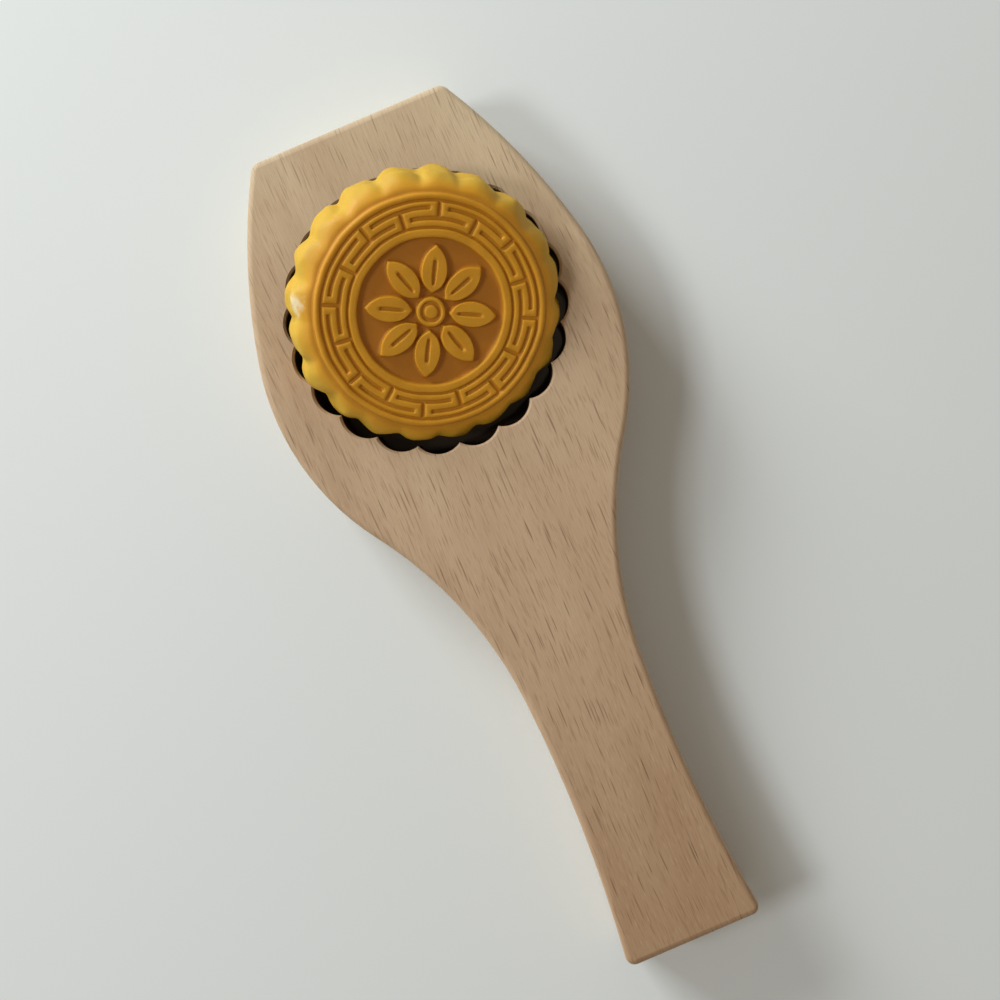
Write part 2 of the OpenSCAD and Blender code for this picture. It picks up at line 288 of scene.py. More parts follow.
# Painted shade over an oil stain: near black on the walls, where the gap round the cake lies deepest in
# shade, browner on the floor.
hollow_shade_color = add_node(wood, "ShaderNodeMix", {
    0: deep_wall, COLOR_A: from_hex("#4a2f1a"), COLOR_B: from_hex("#120a06")},
    data_type="RGBA").outputs[COLOR_MIX]
hollow_shade_share = add_node(wood, "ShaderNodeMath", {0: hollow_shade_and_oil, 1: HOLLOW_SHADE_SHARE}, operation="MULTIPLY").outputs[0]
color = add_node(wood, "ShaderNodeMix", {0: hollow_shade_share, COLOR_A: color, COLOR_B: hollow_shade_color},
                 data_type="RGBA").outputs[COLOR_MIX]
print("beech colour takes", len(wood.nodes), "nodes")

# %% [markdown]
# Sanded wood is matt, and its pores make it slightly rougher in streaks. The rays are shallow dips, which
# show on the flat faces only: on the sides they would look like cracks. The hollow, oiled and painted in
# shade, keeps its shine low so that it stays dark.

# %% Beech surface
SMOOTHEST_WOOD, ROUGHEST_WOOD = 0.56, 0.70
DARK_RAY_DIP, SOFT_RAY_DIP = -0.8, -0.5
RELIEF_STRENGTH = 0.5
RELIEF_HEIGHT = 0.1 * MM
DRY_SHINE, HOLLOW_SHINE = 0.45, 0.05
WOOD_IOR = 1.5
roughness = add_node(wood, "ShaderNodeMapRange", {
    "Value": streaks, "From Min": NOISE_LOW, "From Max": NOISE_HIGH,
    "To Min": SMOOTHEST_WOOD, "To Max": ROUGHEST_WOOD}).outputs[0]
relief = add_node(wood, "ShaderNodeMath", {0: dark_rays, 1: DARK_RAY_DIP, 2: streaks},
                  operation="MULTIPLY_ADD").outputs[0]
relief = add_node(wood, "ShaderNodeMath", {0: soft_rays, 1: SOFT_RAY_DIP, 2: relief},
                  operation="MULTIPLY_ADD").outputs[0]
bump_strength = add_node(wood, "ShaderNodeMath", {0: side_fade, 1: RELIEF_STRENGTH},
                         operation="MULTIPLY").outputs[0]
bump = add_node(wood, "ShaderNodeBump", {
    "Height": relief, "Strength": bump_strength, "Distance": RELIEF_HEIGHT}).outputs[0]
shine = add_node(wood, "ShaderNodeMapRange", {
    "Value": hollow_shade_and_oil, "To Min": DRY_SHINE, "To Max": HOLLOW_SHINE}).outputs[0]
surface = add_node(wood, "ShaderNodeBsdfPrincipled", {
    "Base Color": color, "Roughness": roughness, "Normal": bump, "IOR": WOOD_IOR,
    "Specular IOR Level": shine})
add_node(wood, "ShaderNodeOutputMaterial", {"Surface": surface.outputs[0]})
print("beech has", len(wood.nodes), "nodes")

# %% [markdown]
# ## The board
# The board's solid is right as it stands, so its CAD mesh stays and takes the beech. The CAD mesh is made
# of loose flat triangles, which would show as facets along the curved edge. Weld joins them, a small tree
# marks the real edges as sharp and the rest as smooth, and Weighted Normal keeps the large flat faces
# flat.

# %% Smooth shading for the board
WELD_REACH = 0.0005 * MM
SMOOTH_BELOW = math.radians(28)


def shading_tree():
    """A tree that shades a mesh smooth apart from edges sharper than an angle."""
    tree = bpy.data.node_groups.new("smooth_between_edges", "GeometryNodeTree")
    tree.interface.new_socket("Geometry", in_out="INPUT", socket_type="NodeSocketGeometry")
    tree.interface.new_socket("Sharpest smooth angle", in_out="INPUT", socket_type="NodeSocketFloat")
    tree.interface.new_socket("Geometry", in_out="OUTPUT", socket_type="NodeSocketGeometry")
    given = add_node(tree, "NodeGroupInput").outputs
    angle = add_node(tree, "GeometryNodeInputMeshEdgeAngle").outputs["Unsigned Angle"]
    gentle = add_node(tree, "FunctionNodeCompare", {0: angle, 1: given["Sharpest smooth angle"]},
                      operation="LESS_THAN").outputs[0]
    faces = add_node(tree, "GeometryNodeSetShadeSmooth", {0: given["Geometry"], "Shade Smooth": True},
                     domain="FACE").outputs[0]
    edges = add_node(tree, "GeometryNodeSetShadeSmooth", {0: faces, "Shade Smooth": gentle},
                     domain="EDGE").outputs[0]
    add_node(tree, "NodeGroupOutput", {0: edges})
    return tree


def set_input(modifier, name, value):
    """Set a modifier's input by the identifier of the socket with this name."""
    sockets = modifier.node_group.interface.items_tree
    identifier = next(s.identifier for s in sockets if s.name == name and s.in_out == "INPUT")
    modifier[identifier] = value


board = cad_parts["mold_board"]
weld = board.modifiers.new("weld", "WELD")
weld.merge_threshold = WELD_REACH
shading = board.modifiers.new("shading", "NODES")
shading.node_group = shading_tree()
set_input(shading, "Sharpest smooth angle", SMOOTH_BELOW)
weighted = board.modifiers.new("weighted", "WEIGHTED_NORMAL")
weighted.keep_sharp = True
board.material_slots[0].material = beech
print("board takes", board.material_slots[0].material.name)

# %% [markdown]
# ## The cake's pressed face
# The cake carries the mold's carving in soft dough: a round frame, a fret band of interlocking T-shaped
# grooves and a flower in a sunk middle. All of it repeats eight times, so one slice of 45 degrees is
# enough. The slice is a grid whose lines follow the sides of the grooves and petals. A plain grid would
# need ten times the points to show the same edges. Sizes are those of the carving in millimetres; the
# dough shrinks a little.

# %% Sizes of the carving
FRET_N = 8
FRAME_R, FRAME_W = 28.0, 1.6
GROOVE_W, GROOVE_D = 0.9, 0.7
GROOVE_HALF = GROOVE_W / 2
RING_HALF = GROOVE_W / 3
FRET_IN_R = 20.0
FRET_OUT_R = FRAME_R - FRAME_W - RING_HALF
INNER_BAR_R = FRET_IN_R + 0.33 * (FRET_OUT_R - FRET_IN_R)
OUTER_BAR_R = FRET_IN_R + 0.72 * (FRET_OUT_R - FRET_IN_R)
FIELD_R, FIELD_D = 17.7, 1.4
HEART_R = 3.6
HEART_RING_R = 0.58 * HEART_R
PETAL_LEN, PETAL_W = 11.4, 6.4
PETAL_LEAST_HALF = 0.35
PETAL_IN = HEART_R + 0.9
PETAL_OUT = PETAL_IN + PETAL_LEN
PETAL_MIDDLE = (PETAL_IN + PETAL_OUT) / 2
VEIN_IN = PETAL_MIDDLE - 0.32 * PETAL_LEN
VEIN_OUT = PETAL_MIDDLE + 0.18 * PETAL_LEN
VEIN_SHARE = 0.14
HALF_TURN = math.pi / FRET_N
BAR_HALF = 0.78 * HALF_TURN
GROOVE_EDGE, PETAL_EDGE = 0.22, 0.28
VEIN_END_EDGE, VEIN_SIDE_EDGE = 0.4, 0.14
print("fret bars at", round(INNER_BAR_R, 2), "and", round(OUTER_BAR_R, 2), "mm")

# %% [markdown]
# Apart from the round frame, the relief is built from one rounded step, and a groove is two of them back
# to back. A petal is the overlap of two equal circles.

# %% Steps, grooves and petals
def rise(x, blend=GROOVE_EDGE):
    """0 below -blend and 1 above +blend, with a rounded slope between."""
    return 0.5 + 0.5 * np.sin(np.clip(x / blend, -1, 1) * math.pi / 2)


def between(x, low, high, blend=GROOVE_EDGE):
    """1 between low and high, with rounded slopes at both."""
    return rise(x - low, blend) * rise(high - x, blend)


def petal_half(r):
    """Half the width of a petal at a radius, never quite nothing."""
    circle = (PETAL_LEN ** 2 + PETAL_W ** 2) / (4 * PETAL_W)
    off = r - PETAL_MIDDLE
    lens = math.sqrt(max(circle ** 2 - off ** 2, 0)) - (circle - PETAL_W / 2)
    return max(lens, PETAL_LEAST_HALF)


print("petals are", round(2 * petal_half(PETAL_MIDDLE), 2), "mm wide")

# %% [markdown]
# Three families of lines run out from the middle: even ones, ones that follow the petals, and ones that
# follow the fret. Where nothing but round rings lies between two families, one turns gradually into the
# other.

# %% Lines of the grid
LINES = 30
FRET_LINES_R = FRET_IN_R - 0.6
VEIN_TO, FLANK_TO, RIM_TO = 0.25, 0.8, 1.08
VEIN_LINES, FLANK_LINES, RIM_LINES = 6, 8, 11


def petal_lines(r):
    """Places across half a repeat that gather at a petal's vein and at its edge."""
    half = petal_half(r)
    share = np.concatenate([
        np.linspace(0, VEIN_TO, VEIN_LINES),
        np.linspace(VEIN_TO, FLANK_TO, FLANK_LINES)[1:],
        np.linspace(FLANK_TO, RIM_TO, RIM_LINES)[1:]])
    beyond = np.linspace(half * share[-1], r * HALF_TURN, LINES + 2 - len(share))
    return np.concatenate([half * share, beyond[1:]])


def fret_lines(r):
    """Places across half a repeat that gather at the sides of the fret's grooves."""
    steps = GROOVE_EDGE * np.linspace(-1, 1, 5)
    stem = GROOVE_HALF + steps
    outer_end = r * (HALF_TURN - BAR_HALF) + steps
    inner_end = r * BAR_HALF + steps
    last_stem = r * HALF_TURN - stem[::-1]
    return np.concatenate([
        [0], stem,
        np.linspace(stem[-1], outer_end[0], 3)[1:-1], outer_end,
        np.linspace(outer_end[-1], inner_end[0], 8)[1:-1], inner_end,
        np.linspace(inner_end[-1], last_stem[0], 3)[1:-1], last_stem,
        np.linspace(last_stem[-1], r * HALF_TURN, 3)[1:]])


def line_angles(r):
    """Angles of all lines of one repeat at a radius, from one side to the other."""
    petal = np.interp(r, [HEART_R, PETAL_IN, FIELD_R, FRET_LINES_R], [0, 1, 1, 0])
    fret = np.interp(r, [FIELD_R, FRET_LINES_R, FRAME_R - FRAME_W, FRAME_R], [0, 1, 1, 0])
    half = (1 - petal - fret) * np.linspace(0, HALF_TURN, LINES + 1)
    if petal > 0:
        half = half + petal * petal_lines(r) / r
    if fret > 0:
        half = half + fret * fret_lines(r) / r
    return np.concatenate([-half[:0:-1], half])


print("lines in one repeat:", len(line_angles(FIELD_R)))

# %% [markdown]
# The depth of each point follows from its radius and its distance from the slice's middle line. Grooves
# are windows with rounded slopes, and where two meet the deeper one counts, so T-joints come out clean.

# %% Depth of the relief
def face_depth(r, x):
    """Depth under the highest plane at radius r, at distances x across from the middle of a repeat."""
    x = np.abs(x)
    if r >= FRET_OUT_R:
        side = np.clip((r - FRAME_R + FRAME_W / 2) / (FRAME_W / 2), -1, 1)
        return np.full_like(x, GROOVE_D * (1 - math.sqrt(1 - side ** 2)))
    from_side = r * HALF_TURN - x
    on_inner_bar = between(r, INNER_BAR_R - GROOVE_HALF, INNER_BAR_R + GROOVE_HALF)
    on_outer_bar = between(r, OUTER_BAR_R - GROOVE_HALF, OUTER_BAR_R + GROOVE_HALF)
    grooves = np.maximum.reduce([
        np.full_like(x, between(r, FRET_IN_R - RING_HALF, FRET_IN_R + RING_HALF)),
        np.full_like(x, rise(r - FRET_OUT_R + RING_HALF)),
        on_inner_bar * rise(r * BAR_HALF - x),
        on_outer_bar * rise(r * BAR_HALF - from_side),
        rise(r - INNER_BAR_R) * rise(GROOVE_HALF - x),
        between(r, FRET_IN_R, OUTER_BAR_R) * rise(GROOVE_HALF - from_side)])
    width = petal_half(r)
    petal = between(r, PETAL_IN, PETAL_OUT, PETAL_EDGE) * rise(width - x, PETAL_EDGE)
    heart = rise(HEART_R - r, PETAL_EDGE)
    vein = between(r, VEIN_IN, VEIN_OUT, VEIN_END_EDGE) * rise(VEIN_SHARE * width - x, VEIN_SIDE_EDGE)
    heart_ring = between(r, HEART_RING_R - GROOVE_HALF, HEART_RING_R + GROOVE_HALF)
    sunk = FIELD_D * rise(FIELD_R - r, PETAL_EDGE) * (1 - np.maximum(petal, heart))
    return sunk + GROOVE_D * np.maximum(np.maximum(grooves, vein * petal), heart_ring * heart)


print("sunk field is", round(face_depth(FIELD_R - 1, np.zeros(1))[0], 2), "mm deep")

# %% [markdown]
# The rings of the grid lie close together at every edge of the relief and on the round frame, and further
# apart elsewhere. Rings and lines together give the slice its points, and each point's depth is also
# noted as its tone, for the dough's colour.

# %% The face's slice
INNERMOST_RING = 0.8
RING_STEP = 0.7
EDGE_MARGIN = 1.3


def face_rings():
    """Radii of the grid's rings, close together at every edge and on the round frame."""
    edges = [HEART_RING_R - GROOVE_HALF, HEART_RING_R + GROOVE_HALF, HEART_R, PETAL_IN, PETAL_OUT,
             VEIN_IN, VEIN_OUT, FIELD_R,
             FRET_IN_R - RING_HALF, FRET_IN_R + RING_HALF,
             INNER_BAR_R - GROOVE_HALF, INNER_BAR_R + GROOVE_HALF,
             OUTER_BAR_R - GROOVE_HALF, OUTER_BAR_R + GROOVE_HALF, FRET_OUT_R - RING_HALF]
    at_edges = np.add.outer(edges, GROOVE_EDGE * np.linspace(-EDGE_MARGIN, EDGE_MARGIN, 5)).ravel()
    on_frame = FRAME_R - FRAME_W / 2 + FRAME_W / 2 * np.sin(np.radians(np.linspace(-90, 90, 11)))
    marks = np.unique(np.round(np.concatenate([[0, INNERMOST_RING], at_edges, on_frame]), 3))
    filled = [np.linspace(low, high, int((high - low) / RING_STEP) + 1, endpoint=False)
              for low, high in zip(marks[1:-1], marks[2:])]
    return np.concatenate([[0], *filled, [FRAME_R]])


face_rows = []
for radius in face_rings():
    angles = line_angles(radius)
    drop = face_depth(radius, radius * angles)
    face_rows.append(np.stack([radius * np.sin(angles), radius * np.cos(angles), -drop], axis=1))
face_rows = np.array(face_rows)
# The deeper a point lies, the darker its colour: painted shade in the recesses.
face_tone = face_rows[:, :, 2] / FIELD_D
print("face slice:", face_rows.shape[0], "rings of", face_rows.shape[1], "points")

# %% [markdown]
# ## The cake's lobes
# Outside the frame the cake falls away in a rounded shoulder that breaks into twenty lobes. In the wood
# the lobes meet in sharp notches, but dough doesn't fill those, so its notches are rounded: a soft
# maximum of the circles on both sides of a notch gives that. One lobe of 18 degrees is enough.

# %% Outline of one lobe
LOBE_N = 20
MOUTH_R, LOBE_R = 33.6, 6.4
NOTCH_FILL = 0.58
LOBE_LINES = LINES * 2 * FRET_N // LOBE_N


def lobe_reach(angle):
    """Reach of the softened lobes at an angle from the middle of a lobe, at the mouth of the hollow."""
    total = np.zeros_like(angle)
    centre = MOUTH_R - LOBE_R
    firmness = math.log(2) / NOTCH_FILL
    for neighbour in (-1, 0, 1):
        off = angle - neighbour * math.tau / LOBE_N
        inside = LOBE_R ** 2 - (centre * np.sin(off)) ** 2
        reach = centre * np.cos(off) + np.sqrt(np.maximum(inside, 0))
        total += np.where(inside > 0, np.exp(firmness * (reach - MOUTH_R)), 0)
    return MOUTH_R + np.log(total) / firmness


lobe_angles = np.linspace(-math.pi / LOBE_N, math.pi / LOBE_N, LOBE_LINES + 1)
mouth_reach = lobe_reach(lobe_angles)
print("lobes reach", round(mouth_reach.max(), 2), "mm, notches", round(mouth_reach.min(), 2), "mm")

# %% [markdown]
# The lobe's profile runs from the frame over the shoulder, down the side, round the foot and under the
# cake. The shoulder is a quarter of an ellipse in each direction, which lets the notches fade out before
# they reach the frame. The side follows the draft of the hollow's wall and sags out a little, as soft
# dough does.

# %% Shoulder, side and underside of one lobe
CAVITY_D, FILL_H = 14.0, 13.5
DRAFT = math.radians(3)
SHOULDER_R = MOUTH_R - FRAME_R
SHOULDER_FOOT = GROOVE_D + SHOULDER_R
FOOT_R = 0.9
SAG = 0.35
INNER_UNDERSIDE = 0.6
SHOULDER_STEPS, SIDE_STEPS, FOOT_STEPS = 15, 9, 6
# The valley just outside the frame gets painted shade; further down, the lobes turn paler, partly a drier
# skin and partly painted light.
SHADED_VALLEY_DOWN, DRY_LIT_DOWN = GROOVE_D + 0.5, GROOVE_D + 2.5
SHADED_VALLEY_TONE, DRY_LIT_TONE = 0.2, 1.0


def wall_reach(down):
    """Reach of the drafted wall all along the lobe's outline, at a depth below the face."""
    return mouth_reach - (CAVITY_D - down) * math.tan(DRAFT)


profile = []
for turn in np.radians(np.linspace(0, 90, SHOULDER_STEPS)):
    down = GROOVE_D + SHOULDER_R * (1 - math.cos(turn))
    profile.append((FRAME_R + (wall_reach(down) - FRAME_R) * math.sin(turn), down))
for share in np.linspace(0, 1, SIDE_STEPS)[1:]:
    down = SHOULDER_FOOT + share * (FILL_H - FOOT_R - SHOULDER_FOOT)
    profile.append((wall_reach(down) + SAG * math.sin(math.pi * share) ** 2, down))
foot_wall = profile[-1][0]
for turn in np.radians(np.linspace(0, 90, FOOT_STEPS))[1:]:
    profile.append((foot_wall - FOOT_R * (1 - math.cos(turn)), FILL_H - FOOT_R * (1 - math.sin(turn))))
for share in (INNER_UNDERSIDE, 0.0):
    profile.append((profile[-1][0] * share, FILL_H))
lobe_rows = np.array([
    np.stack([reach * np.sin(lobe_angles), reach * np.cos(lobe_angles), np.full_like(lobe_angles, -down)],
             axis=1)
    for reach, down in profile])
on_lobe = np.interp(-lobe_rows[:, 0, 2], [GROOVE_D, SHADED_VALLEY_DOWN, DRY_LIT_DOWN],
                    [-GROOVE_D / FIELD_D, SHADED_VALLEY_TONE, DRY_LIT_TONE])
lobe_tone = np.repeat(on_lobe[:, None], len(lobe_angles), axis=1)
print("lobe slice:", lobe_rows.shape[0], "rows of", lobe_rows.shape[1], "points")

# %% [markdown]
# ## Repeat the slices with Geometry Nodes
# One small tree serves both slices: it sets copies round the middle, turns them into real mesh, closes
# the seams and pushes the surface a little out of true, because hand-pressed dough is never perfectly
# even. The lobes are pushed further than the face, as each point's tone says. The push depends only on
# the place and the tone, so the seams between slices stay closed.

# %% The repeating tree
SEAM_REACH = 0.001 * MM


def repeating_tree():
    """A tree that repeats a slice round the Z axis and makes it slightly uneven."""
    tree = bpy.data.node_groups.new("pressed_repeats", "GeometryNodeTree")
    tree.interface.new_socket("Geometry", in_out="INPUT", socket_type="NodeSocketGeometry")
    for name, kind in (("Count", "Int"), ("Face unevenness", "Float"), ("Lobe unevenness", "Float"),
                       ("Swell width", "Float"), ("Finish", "Material")):
        tree.interface.new_socket(name, in_out="INPUT", socket_type="NodeSocket" + kind)
    tree.interface.new_socket("Geometry", in_out="OUTPUT", socket_type="NodeSocketGeometry")
    given = add_node(tree, "NodeGroupInput").outputs
    places = add_node(tree, "GeometryNodePoints", {"Count": given["Count"]}).outputs[0]
    step = add_node(tree, "ShaderNodeMath", {0: math.tau, 1: given["Count"]}, operation="DIVIDE").outputs[0]
    number = add_node(tree, "GeometryNodeInputIndex").outputs[0]
    turn = add_node(tree, "ShaderNodeMath", {0: number, 1: step}, operation="MULTIPLY").outputs[0]
    turn = add_node(tree, "ShaderNodeCombineXYZ", {"Z": turn}).outputs[0]
    turn = add_node(tree, "FunctionNodeEulerToRotation", {0: turn}).outputs[0]
    copies = add_node(tree, "GeometryNodeInstanceOnPoints", {
        "Points": places, "Instance": given["Geometry"], "Rotation": turn}).outputs[0]
    solid = add_node(tree, "GeometryNodeRealizeInstances", {0: copies}).outputs[0]
    solid = add_node(tree, "GeometryNodeMergeByDistance", {
        "Geometry": solid, "Distance": SEAM_REACH}).outputs[0]
    spot = add_node(tree, "GeometryNodeInputPosition").outputs[0]
    spot = add_node(tree, "ShaderNodeVectorMath", {0: spot, 1: given["Swell width"]},
                    operation="DIVIDE").outputs[0]
    swell = add_node(tree, "ShaderNodeTexNoise", {
        "Vector": spot, "Scale": 1.0, "Detail": 1.0}).outputs["Color"]
    swell = add_node(tree, "ShaderNodeVectorMath", {0: swell, 1: NOISE_MIDDLE},
                     operation="SUBTRACT").outputs[0]
    tone = add_node(tree, "GeometryNodeInputNamedAttribute", {"Name": "tone"}, data_type="FLOAT").outputs[0]
    height = add_node(tree, "ShaderNodeMapRange", {
        "Value": tone, "To Min": given["Face unevenness"], "To Max": given["Lobe unevenness"]}).outputs[0]
    swell = add_node(tree, "ShaderNodeVectorMath", {0: swell, "Scale": height}, operation="SCALE").outputs[0]
    solid = add_node(tree, "GeometryNodeSetPosition", {"Geometry": solid, "Offset": swell}).outputs[0]
    solid = add_node(tree, "GeometryNodeSetShadeSmooth", {0: solid, "Shade Smooth": True}).outputs[0]
    solid = add_node(tree, "GeometryNodeSetMaterial", {
        "Geometry": solid, "Material": given["Finish"]}).outputs[0]
    add_node(tree, "NodeGroupOutput", {0: solid})
    return tree


repeats = repeating_tree()
print("repeating tree has", len(repeats.nodes), "nodes")

# %% [markdown]
# Each slice becomes a mesh of quads, which carries the tone of its points as an attribute. The tree then
# makes it whole, and the result is kept as a plain mesh.

# %% Make face and lobes
CAKE_SHRINK = 0.958
FACE_UNEVEN, LOBE_UNEVEN = 0.5 * MM, 2.2 * MM
SWELL_WIDTH = 7.5 * MM
dough, pastry = new_material("pressed_dough")


def grid_mesh(name, rows, tone):
    """Make a mesh of quads from rows of points in mm, shrunk as the dough is, with a tone for each point."""
    count, width, _ = rows.shape
    first = np.add.outer(np.arange(count - 1) * width, np.arange(width - 1)).ravel()
    quads = np.stack([first, first + width, first + width + 1, first + 1], axis=1)
    mesh = bpy.data.meshes.new(name)
    mesh.from_pydata((rows.reshape(-1, 3) * CAKE_SHRINK * MM).tolist(), [], quads.tolist())
    mesh.attributes.new("tone", "FLOAT", "POINT").data.foreach_set("value", tone.ravel())
    return mesh


def repeat(name, rows, tone, count):
    """Repeat a slice round the middle and return the finished mesh as a new object."""
    source = bpy.data.objects.new(name, grid_mesh(name, rows, tone))
    bpy.context.scene.collection.objects.link(source)
    modifier = source.modifiers.new("repeats", "NODES")
    modifier.node_group = repeats
    set_input(modifier, "Count", count)
    set_input(modifier, "Face unevenness", FACE_UNEVEN)
    set_input(modifier, "Lobe unevenness", LOBE_UNEVEN)
    set_input(modifier, "Swell width", SWELL_WIDTH)
    set_input(modifier, "Finish", dough)
    evaluated = source.evaluated_get(bpy.context.evaluated_depsgraph_get())
    made = bpy.data.meshes.new_from_object(evaluated)
    source.modifiers.remove(modifier)
    source.data = made
    return source


cake = repeat("pressed_cake", face_rows, face_tone, FRET_N)
lobes = repeat("lobes", lobe_rows, lobe_tone, LOBE_N)
print("face", len(cake.data.polygons), "faces, lobes", len(lobes.data.polygons), "faces")

# %% [markdown]
# ## Set the cake in the hollow
# The two meshes become one closed skin. Turn and tilt are those of the CAD cake, and the skin's underside
# lies in the plane of the CAD solid's. The skin is slightly larger than that solid and lies 0.4 mm nearer
# the handle, which follows the photographed outline more closely.

# %% Join and place the cake
TILT = math.radians(20.5)
TILT_SIDE = math.radians(11)
CAKE_TURN = math.radians(27)
CAKE_SHIFT = 2.5 * MM
JOIN_REACH = 0.002 * MM
solid_points = np.array([v.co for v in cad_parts["mooncake"].data.vertices])
lean = Matrix.Rotation(TILT_SIDE, 4, "Z") @ Matrix.Rotation(TILT, 4, "X")
upright = np.array(lean.col[2][:3])
base_y = CAVITY_Y + CAKE_SHIFT
base_z = ((solid_points @ upright).min() - upright[1] * base_y) / upright[2]
on_base = Matrix.Translation((0, 0, FILL_H * CAKE_SHRINK * MM))
turned = Matrix.Rotation(-TILT_SIDE - CAKE_TURN, 4, "Z")

with bpy.context.temp_override(active_object=cake, selected_editable_objects=[cake, lobes]):
    bpy.ops.object.join()
skin = bmesh.new()
skin.from_mesh(cake.data)
bmesh.ops.remove_doubles(skin, verts=skin.verts, dist=JOIN_REACH)
bmesh.ops.recalc_face_normals(skin, faces=skin.faces)
skin.transform(Matrix.Translation((0, base_y, base_z)) @ lean @ turned @ on_base)
print("cake underside at", round(base_z / MM, 2), "mm")

# %% [markdown]
# Wood is harder than dough, so where a tongue of the mouth would reach into the skin, it presses a dent
# there. The hollow has no overhang, so a point lies in the wood when a ray straight up from it meets the
# board. Such a point moves towards the middle of the hollow, step by step, until it is clear of the wood.
# The skin then stands for the CAD cake and rides on its body.

# %% Press the rim's dents into the cake
RIM_CLEARANCE = 0.25 * MM
DENT_STEP = 0.05 * MM
UP = Vector((0, 0, 1))
wood_faces = BVHTree.FromObject(board, bpy.context.evaluated_depsgraph_get())
dents = []
for point in skin.verts:
    outward = Vector((point.co.x, point.co.y - CAVITY_Y, 0)).normalized()
    start = point.co.copy()
    while wood_faces.ray_cast(point.co + RIM_CLEARANCE * outward, UP)[0] is not None:
        point.co -= DENT_STEP * outward
    if point.co != start:
        dents.append((point.co - start).length / MM)
print(len(dents), "points dented, by up to", round(max(dents, default=0), 2), "mm")

open_edges = sum(not edge.is_manifold for edge in skin.edges)
skin.to_mesh(cake.data)
skin.free()
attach(cake, "cake")
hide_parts("mooncake")
print("open edges:", open_edges, "faces:", len(cake.data.polygons))
skin_points = np.array([v.co for v in cake.data.vertices]) / MM
print("skin box", skin_points.min(axis=0).round(2), skin_points.max(axis=0).round(2))

# %% [markdown]
# ## Dough
# The cake is steamed, pumpkin-coloured dough, pressed and turned out. It is soft and slightly waxy, so light
# enters it a little way before it comes back. The deep places are painted a darker brown, which is painted
# shade in the recesses, and the lobes a lemon yellow, partly a drier skin and partly painted light: each
# point of the slices carries this as its tone, from -1 in the sunk middle to 1 on the lobes. Broad clouds
# keep the colour from being the same all over.

# %% Dough colour
CLOUD_WIDTH, CRUMB_WIDTH = 9 * MM, 0.7 * MM
spot = add_node(pastry, "ShaderNodeTexCoord").outputs["Object"]


def dough_noise(width, detail):
    """A solid noise in the dough with swells of this width."""
    space = add_node(pastry, "ShaderNodeVectorMath", {0: spot, 1: (width, width, width)},
                     operation="DIVIDE").outputs[0]
    return add_node(pastry, "ShaderNodeTexNoise", {
        "Vector": space, "Scale": 1.0, "Detail": detail}).outputs[0]


clouds = dough_noise(CLOUD_WIDTH, detail=3.0)
crumbs = dough_noise(CRUMB_WIDTH, detail=2.0)
shade = add_node(pastry, "ShaderNodeMapRange", {
    "Value": clouds, "From Min": NOISE_LOW, "From Max": NOISE_HIGH}).outputs[0]
dough_color = add_node(pastry, "ShaderNodeMix", {
    0: shade, COLOR_A: from_hex("#dd9f22"), COLOR_B: from_hex("#d2951b")},
    data_type="RGBA").outputs[COLOR_MIX]
tone_of_point = add_node(pastry, "ShaderNodeAttribute", attribute_name="tone").outputs["Fac"]
# Darker brown in the deep places is painted shade; the lemon yellow of the lobes is partly a drier skin and
# partly painted light.
for full_tone, code in ((-1.0, "#ba781a"), (1.0, "#cda42d")):
    share = add_node(pastry, "ShaderNodeMapRange", {
        "Value": tone_of_point, "From Min": 0.0, "From Max": full_tone}).outputs[0]
    dough_color = add_node(pastry, "ShaderNodeMix", {
        0: share, COLOR_A: dough_color, COLOR_B: from_hex(code)}, data_type="RGBA").outputs[COLOR_MIX]
print("dough colour takes", len(pastry.nodes), "nodes")

# %% [markdown]
# A pinch of flour sticks to one lobe. It is a spot round one place, made ragged by a fine noise, and it
# is matt, where the dough itself has a soft gloss.

# %% A pinch of flour
FLOUR_SPOT = (-26.5 * MM, 67.9 * MM, 36.0 * MM)
DUST_WIDTH = 1.6 * MM
DUST_REACH = 4 * MM
FLOUR_FULL, FLOUR_END = 2.6 * MM, 5.6 * MM
FLOUR_SHARE = 0.75
from_flour = add_node(pastry, "ShaderNodeVectorMath", {0: spot, 1: FLOUR_SPOT},
                      operation="DISTANCE").outputs["Value"]
dust = dough_noise(DUST_WIDTH, detail=1.0)
ragged = add_node(pastry, "ShaderNodeMath", {0: dust, 1: DUST_REACH, 2: from_flour},
                  operation="MULTIPLY_ADD").outputs[0]
flour = add_node(pastry, "ShaderNodeMapRange", {
    "Value": ragged, "From Min": FLOUR_END, "From Max": FLOUR_FULL, "To Max": FLOUR_SHARE},
    interpolation_type="SMOOTHSTEP").outputs[0]
dough_color = add_node(pastry, "ShaderNodeMix", {
    0: flour, COLOR_A: dough_color, COLOR_B: from_hex("#e9dcb8")}, data_type="RGBA").outputs[COLOR_MIX]
print("flour reaches about", FLOUR_END / MM, "mm from its middle at most")

# %% [markdown]
# The surface has the gloss of a waxy skin, broken by fine crumbs in roughness and relief. Light scatters
# in dough over one or two millimetres, and red travels furthest, which warms the thin edges.

